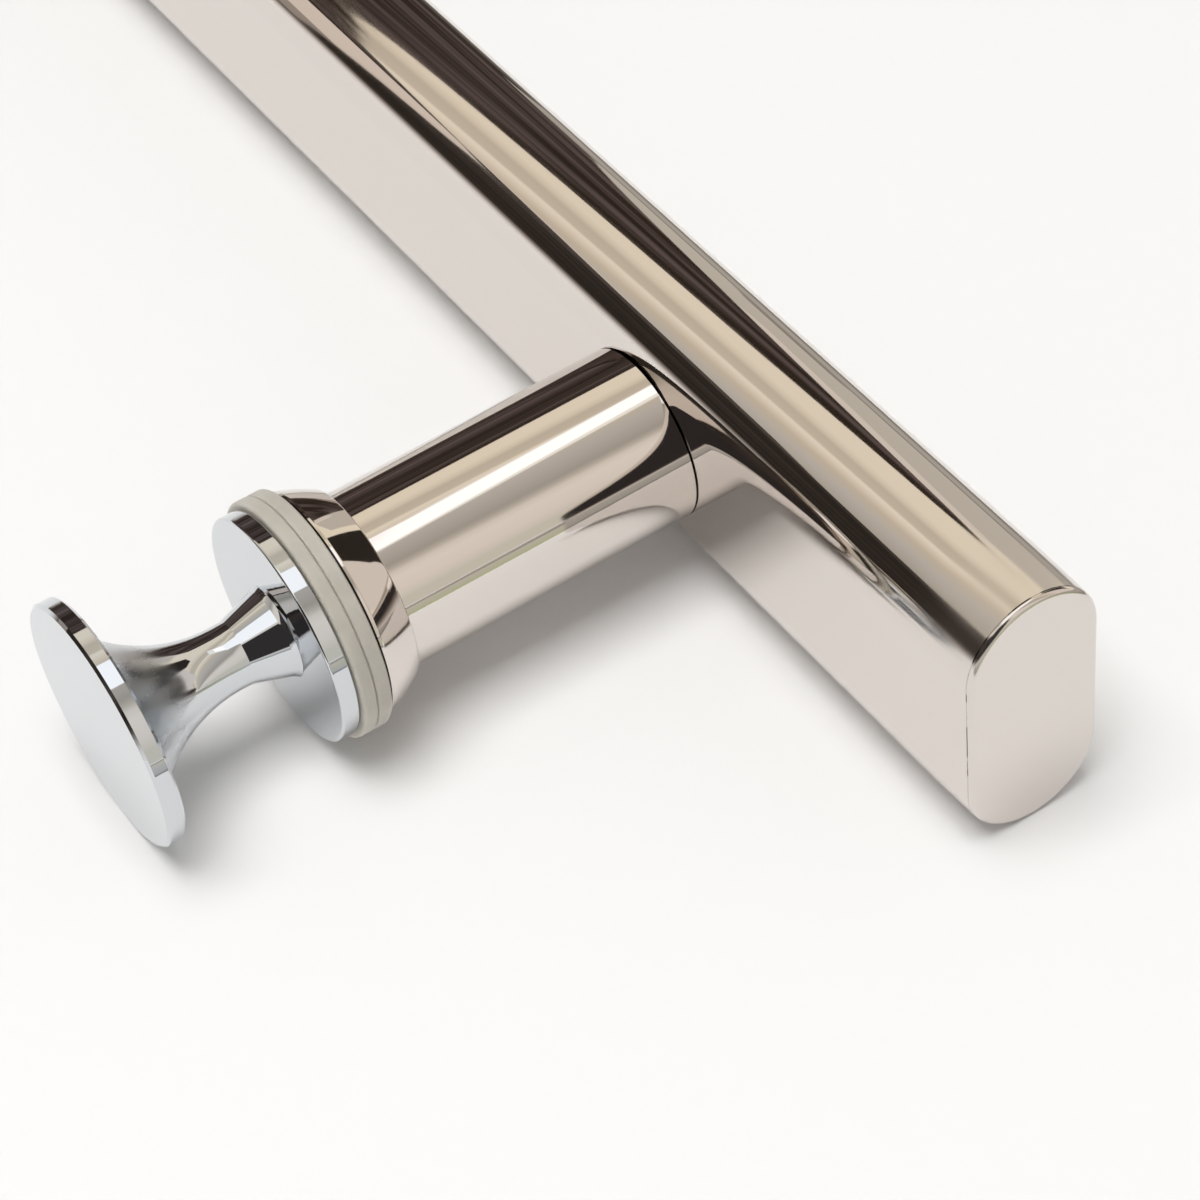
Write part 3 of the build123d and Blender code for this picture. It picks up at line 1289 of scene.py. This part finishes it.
SURROUNDS: tuple[TableSurround, ...] = (
    TableSurround(
        "table_far_side",
        ((-4.0, 0.15), (4.0, 0.15), (4.0, 4.0), (-4.0, 4.0)),
        (0, 1, 0),
        (
            (0.150, (0.85, 0.82, 0.78)), (0.160, (0.20, 0.18, 0.15)), (0.185, (0.25, 0.22, 0.19)),
            (0.21, (0.45, 0.42, 0.38)), (0.35, (0.50, 0.47, 0.42)), (0.8, (0.33, 0.30, 0.26)),
            (4.0, (0.30, 0.27, 0.24)),
        ),
    ),
    TableSurround(
        "table_far_dark",
        ((0.06, 0.190), (-0.25, 0.50), (-3.0, 3.5), (-4.0, 3.5), (-4.0, 0.175), (0.03, 0.175)),
        (0, 1, 0),
        ((0.17, (0.16, 0.14, 0.13)), (0.3, (0.05, 0.04, 0.035)), (4.0, (0.04, 0.03, 0.03))),
        1.0 * MM,
    ),
    TableSurround(
        "table_near_side",
        ((-4.0, -4.0), (4.0, -4.0), (4.0, -0.11), (-4.0, -0.11)),
        (0, -1, 0),
        (
            (0.11, (0.95, 0.93, 0.92)), (0.17, (0.80, 0.77, 0.75)), (0.25, (0.53, 0.50, 0.48)),
            (0.42, (0.31, 0.28, 0.26)), (1.0, (0.13, 0.11, 0.10)), (4.0, (0.10, 0.09, 0.08)),
        ),
    ),
    TableSurround(
        "table_right_side",
        ((0.345, 0.04), (4.0, 0.04), (4.0, 0.15), (0.345, 0.15)),
        (1, 0, 0),
        (
            (0.345, (0.50, 0.58, 0.27)), (0.378, (0.58, 0.58, 0.46)), (0.7, (0.66, 0.63, 0.54)),
            (4.0, (0.68, 0.66, 0.55)),
        ),
    ),
    TableSurround(
        "table_right_near",
        ((0.345, -0.11), (4.0, -0.11), (4.0, 0.04), (0.345, 0.04)),
        (1, 0, 0),
        (
            (0.345, (0.16, 0.16, 0.15)), (0.352, (0.18, 0.18, 0.17)), (0.362, (0.55, 0.55, 0.53)),
            (0.7, (0.66, 0.66, 0.62)), (4.0, (0.68, 0.67, 0.62)),
        ),
    ),
)

CEILING_BANDS: Stops = (
    (-2.30, (0.97, 0.88, 0.72)),
    (-0.90, (0.95, 0.86, 0.71)),
    (-0.76, (0.84, 0.75, 0.61)),
    (-0.67, (0.66, 0.59, 0.48)),
    (-0.49, (0.70, 0.63, 0.51)),
    (-0.46, (1.00, 0.92, 0.78)),
    (-0.38, (0.90, 0.81, 0.67)),
    (-0.25, (0.69, 0.61, 0.49)),
    (-0.05, (0.60, 0.57, 0.52)),
    (0.27, (0.50, 0.46, 0.41)),
    (0.38, (0.45, 0.42, 0.37)),
    (0.50, (0.58, 0.54, 0.47)),
    (0.64, (0.83, 0.77, 0.70)),
    (0.85, (0.91, 0.85, 0.77)),
    (1.70, (0.87, 0.80, 0.73)),
    (2.60, (0.79, 0.74, 0.66)),
    (3.80, (0.72, 0.69, 0.60)),
)


@dataclass
class Studio:
    """Pale table, soft lamp and the room that the polished metal mirrors."""

    middle: Vector = field(default_factory=lambda: Vector((0.225, 0.041, 0.0)))
    table_half_size: float = 4.0
    table_tone: Tone = (0.955, 0.955, 0.95)
    table_mottling: float = 0.985
    table_gap: float = 0.01 * MM
    ceiling_height: float = 7.0
    dome_radius: float = 9.0
    dome_foot: float = -0.6
    lamp_place: Way = (0.12, -0.45, 2.2)
    lamp_size: float = 1.35
    lamp_watts: float = 35.8
    lamp_tone: Tone = (1.0, 0.995, 0.985)
    even_tone: Tone = (1.0, 0.985, 0.985)
    even_strength: float = 0.42
    cards: tuple[ReflectionCard, ...] = CARDS
    patches: tuple[CeilingPatch, ...] = PATCHES
    surrounds: tuple[TableSurround, ...] = SURROUNDS
    ceiling_bands: Stops = CEILING_BANDS

    def direction(self, azimuth: float, elevation: float) -> Vector:
        """Unit vector at an angle from the bar's direction and one above the level, both in degrees."""
        turn, rise = math.radians(azimuth), math.radians(elevation)
        return Vector((math.cos(rise) * math.cos(turn), math.cos(rise) * math.sin(turn), math.sin(rise)))

    def shining(self, name: str) -> tuple[Tree, Node]:
        """Start the material of a card that shines evenly.

        Args:
            name: Name of the material.

        Returns:
            Its node tree and its emission.
        """
        material = bpy.data.materials.new(name)
        material.use_nodes = True
        tree = material.node_tree
        tree.nodes.clear()
        light = put(tree, "ShaderNodeEmission")
        put(tree, "ShaderNodeOutputMaterial", {"Surface": light.outputs[0]})
        return tree, light

    def glow(self, name: str, tone: Tone, streak_tone: Tone | None = None) -> Material:
        """Material of a card of one tone, or with faint streaks of a second tone.

        Args:
            name: Name of the material.
            tone: Its colour.
            streak_tone: Colour of its streaks.

        Returns:
            The material.
        """
        tree, light = self.shining(name)
        colour = opaque(tone)
        if streak_tone is not None:
            slant = {"Vector": object_place(tree), "Rotation": (0.5, 0.4, 0.0), "Scale": (0.45, 0.45, 1.5)}
            streaks = noise(tree, put(tree, "ShaderNodeMapping", slant).outputs[0], 1.3, 3.0)
            colour = blended(tree, ranged(tree, streaks, (0.42, 0.72)), colour, opaque(streak_tone))
        feed(tree, light, {"Color": colour})
        return bpy.data.materials[name]

    def banded(self, name: str, direction: Way, stops: Stops, slant: bool) -> Material:
        """Material of a card whose tone changes in one direction.

        Args:
            name: Name of the material.
            direction: Direction in which the tone changes.
            stops: Tones and the places that they hold for.
            slant: Whether a place is a share of the height over the handle's middle.

        Returns:
            The material.
        """
        least_height = 0.05
        tree, light = self.shining(name)
        place = object_place(tree)
        if slant:
            over = put(tree, "ShaderNodeVectorMath", {0: place, 1: self.middle}, operation="SUBTRACT")
            place = over.outputs[0]
        dot = put(tree, "ShaderNodeVectorMath", {0: place, 1: direction}, operation="DOT_PRODUCT")
        along = dot.outputs["Value"]
        if slant:
            height = put(tree, "ShaderNodeSeparateXYZ", {0: place}).outputs["Z"]
            along = maths(tree, "DIVIDE", along, maths(tree, "MAXIMUM", height, least_height))
        first, last = stops[0][0], stops[-1][0]
        ramp = put(tree, "ShaderNodeValToRGB", {"Fac": ranged(tree, along, (first, last))})
        elements = ramp.color_ramp.elements
        while len(elements) < len(stops):
            elements.new(0.5)
        for element, (at, tone) in zip(elements, stops):
            element.position = (at - first) / (last - first)
            element.color = opaque(tone)
        feed(tree, light, {"Color": ramp.outputs[0]})
        return bpy.data.materials[name]

    def mirrored_only(self, name: str, corners: list[Vector], material: Material) -> Piece:
        """Put up a card that only mirror reflections see.

        Args:
            name: Name of the card.
            corners: Its corners in order.
            material: What it shows.

        Returns:
            The card.
        """
        mesh = bpy.data.meshes.new(name)
        mesh.from_pydata([tuple(corner) for corner in corners], [], [tuple(range(len(corners)))])
        return self.hang(name, mesh, material)

    def hang(self, name: str, mesh: Mesh, material: Material) -> Piece:
        """Put a mesh on the stage and hide it from all but mirror reflections.

        Args:
            name: Name of the card.
            mesh: Its mesh.
            material: What it shows.

        Returns:
            The card.
        """
        mesh.materials.append(material)
        card = bpy.data.objects.new(name, mesh)
        bpy.context.scene.collection.objects.link(card)
        card.visible_camera = False
        card.visible_diffuse = False
        card.visible_transmission = False
        card.visible_shadow = False
        return card

    def build_room(self) -> None:
        """Put up the cards and the soft patches that the metal mirrors."""
        for card in self.cards:
            corners = [self.middle + self.direction(*corner) * card.distance for corner in card.corners]
            self.mirrored_only(card.name, corners, self.glow(card.name, card.tone, card.streak_tone))
        for patch in self.patches:
            height = self.ceiling_height - patch.drop
            corners = [self.middle + height * Vector((*corner, 1.0)) for corner in patch.corners]
            self.mirrored_only(patch.name, corners, self.glow(patch.name, patch.tone))
        self.build_dome()

    def build_dome(self) -> None:
        """Put up the pale ceiling, whose tone changes in slanting bands."""
        shape = bmesh.new()
        bmesh.ops.create_uvsphere(shape, u_segments=48, v_segments=24, radius=self.dome_radius)
        low = [vertex for vertex in shape.verts if vertex.co.z < self.dome_foot]
        bmesh.ops.delete(shape, geom=low, context="VERTS")
        bmesh.ops.translate(shape, verts=shape.verts, vec=self.middle)
        mesh = bpy.data.meshes.new("pale_ceiling")
        shape.to_mesh(mesh)
        shape.free()
        bands = self.banded("pale_ceiling", (1, -1, 0), self.ceiling_bands, slant=True)
        self.hang("pale_ceiling", mesh, bands)

    def table_material(self) -> Material:
        """Pale table top that mirrors nothing, with a faint mottling.

        Returns:
            The material.
        """
        tree, shader = principled("pale_table")
        shade = tuple(self.table_mottling * value for value in self.table_tone)
        tone, _ = mottled(tree, object_place(tree), 3.0, 3.0, (shade, self.table_tone))
        feed(tree, shader, {"Base Color": tone, "Roughness": 0.6, "Specular IOR Level": 0.0})
        return bpy.data.materials["pale_table"]

    def build_table(self, bar: Bar, knob: Knob) -> Piece:
        """Lay the pale table under the bar and the knobs, which both rest on it.

        Args:
            bar: The bar.
            knob: One of the knobs.

        Returns:
            The table top.
        """
        low, high = -bar.height / 2, -knob.disc_radius
        bar_foot = bar.near + bar.depth / 2
        slope = (high - low) / (bar_foot - (knob.front + knob.disc_bevel))

        def laid(x: float, y: float, lift: float = 0.0) -> Vector:
            """Point on the table top, or at a height above it."""
            return Vector((x, y, low - slope * (y - bar_foot) - self.table_gap + lift))

        for card in self.surrounds:
            material = self.banded(card.name, card.direction, card.stops, slant=False)
            self.mirrored_only(card.name, [laid(*corner, card.lift) for corner in card.corners], material)
        size = self.table_half_size
        corners = [laid(x, y) for x, y in ((-size, -size), (size, -size), (size, size), (-size, size))]
        mesh = bpy.data.meshes.new("pale_table")
        mesh.from_pydata([tuple(corner) for corner in corners], [], [(0, 1, 2, 3)])
        mesh.materials.append(self.table_material())
        table = bpy.data.objects.new("pale_table", mesh)
        bpy.context.scene.collection.objects.link(table)
        return table

    def build_lamp(self) -> Piece:
        """Hang the soft lamp over the table.

        Returns:
            The lamp.
        """
        lamp = bpy.data.lights.new("soft_lamp", "AREA")
        lamp.shape = "SQUARE"
        lamp.size = self.lamp_size
        lamp.energy = self.lamp_watts
        lamp.color = self.lamp_tone
        held = bpy.data.objects.new("soft_lamp", lamp)
        bpy.context.scene.collection.objects.link(held)
        held.location = self.middle + Vector(self.lamp_place)
        held.visible_glossy = False
        return held

    def build_even_light(self) -> None:
        """Set the even light of the room, with plain white where it is seen or mirrored."""
        world = bpy.data.worlds.new("room_light")
        bpy.context.scene.world = world
        world.use_nodes = True
        tree = world.node_tree
        tree.nodes.clear()
        path = put(tree, "ShaderNodeLightPath").outputs
        seen = maths(tree, "MAXIMUM", path["Is Camera Ray"], path["Is Glossy Ray"])
        seen = maths(tree, "MAXIMUM", seen, path["Is Transmission Ray"])
        light = {"Color": opaque(self.even_tone), "Strength": self.even_strength}
        even = put(tree, "ShaderNodeBackground", light)
        white = put(tree, "ShaderNodeBackground", {"Color": (1.0, 1.0, 1.0, 1.0), "Strength": 1.0})
        mixed = put(tree, "ShaderNodeMixShader", {0: seen, 1: even.outputs[0], 2: white.outputs[0]})
        put(tree, "ShaderNodeOutputWorld", {"Surface": mixed.outputs[0]})


@dataclass(frozen=True)
class PhotoCamera:
    """Camera at the photograph's angle."""

    place: Way = (0.5094, -0.1110, 0.3210)
    right: Way = (0.5553, 0.8268, -0.0898)
    up: Way = (-0.5762, 0.4604, 0.6753)
    back: Way = (0.5997, -0.3232, 0.7320)
    lens: float = 103.53
    sensor: float = 36.0
    nearest: float = 0.01
    farthest: float = 50.0

    def build(self) -> Piece:
        """Set up the scene's camera.

        Returns:
            The camera.
        """
        data = bpy.data.cameras.new("photo_camera")
        data.lens = self.lens
        data.sensor_width = self.sensor
        data.clip_start, data.clip_end = self.nearest, self.farthest
        camera = bpy.data.objects.new("photo_camera", data)
        bpy.context.scene.collection.objects.link(camera)
        turned = Matrix((self.right, self.up, self.back)).transposed()
        camera.matrix_world = Matrix.Translation(self.place) @ turned.to_4x4()
        bpy.context.scene.camera = camera
        return camera


@dataclass(frozen=True)
class Finishes:
    """Finishes of the seen metal, fitted to the pieces that wear them."""

    steel: Tone = (0.72, 0.67, 0.63)
    chrome: Tone = (0.64, 0.66, 0.685)
    # Widths of painted shade lines: along the end plates' rounded edge, at the posts' glass ends by the
    # gaskets, and where the posts meet the bar.
    cap_seam_shade: float = 0.18 * MM
    glass_seam_shade: float = 0.9 * MM
    bar_seam_shade: float = 0.34 * MM
    satin: Span = (16.0 * MM, 2.0 * MM)
    brushed: Span = (0.05 * MM, 10.5 * MM)

    def bar_steel(self, bar: Bar) -> Material:
        """Finish of the bar and its end plates, with a broken line of painted shade along each plate's
        rounded edge.
        """
        edge = bar.half_length - bar.edge_radius
        return PolishedMetal(
            "polished_bar_steel",
            self.steel,
            Grain.ALONG_BAR,
            seams=((edge, self.cap_seam_shade),),
            broken_seam_shade=True,
            satin_end=(edge - self.satin[0], edge - self.satin[1]),
        ).material()

    def post_steel(self, post: Post) -> Material:
        """Finish of one post and its collar, with painted shade lines at its glass end and where it meets the
        bar.
        """
        return PolishedMetal(
            f"polished_post_steel_{post.side.tag}",
            self.steel,
            Grain.ROUND_POST,
            roughness=0.045,
            axis_place=post.place,
            seams=((post.glass_end, self.glass_seam_shade), (post.bar_end, self.bar_seam_shade)),
        ).material()

    def plating(self, knob: Knob) -> Material:
        """Finish of one knob and its backplate."""
        disc_back = knob.front + knob.disc_thickness
        return PolishedMetal(
            f"bright_plating_{knob.side.tag}",
            self.chrome,
            Grain.ROUND_POST,
            wave_depth=7e-6,
            wave_scale=420.0,
            axis_place=knob.place,
            brushed=(disc_back + self.brushed[0], disc_back + self.brushed[1]),
        ).material()


def main() -> None:
    """Build and dress the handle, its studio and its camera."""
    logging.basicConfig(level=logging.INFO, format="%(name)s: %(message)s")
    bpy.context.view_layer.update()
    bpy.context.scene.view_settings.view_transform = "Standard"
    PhotoCamera().build()
    shop, finishes = Workshop(), Finishes()
    mounts = {mount["name"]: mount for mount in frame["record"]["mounts"]}
    spacing = snapped(2 * mounts["knob_face_right"]["pos_m"][0])
    bar = Bar.from_frame()
    long_steel, gasket = finishes.bar_steel(bar), MilkyGasket().material()
    pieces = [bar.build_tube(shop, long_steel, spacing)]
    for side in Side:
        place = side.value * spacing / 2
        post = Post.from_frame(side, place)
        knob = Knob.from_frame(side, place)
        clamp = GlassClamp.from_frame(side, post)
        turned_steel, plated = finishes.post_steel(post), finishes.plating(knob)
        pieces += [bar.build_cap(side, long_steel), post.build(shop, turned_steel)]
        pieces += [clamp.build_collar(shop, turned_steel), *clamp.build_gaskets(shop, gasket)]
        pieces += [clamp.build_backplate(shop, plated), knob.build(shop, plated)]
    for piece in pieces:
        log.info("%s: %d faces", piece.name, len(piece.data.polygons))
    Fasteners().dress(MachinedSteel().material(), MouldedBush().material())
    log.info("plugs, studs, nut blocks and bushes dressed")
    studio = Studio()
    studio.build_table(bar, knob)
    studio.build_room()
    studio.build_lamp()
    studio.build_even_light()
    log.info("table, room and lights ready")


if __name__ == "__main__":
    main()
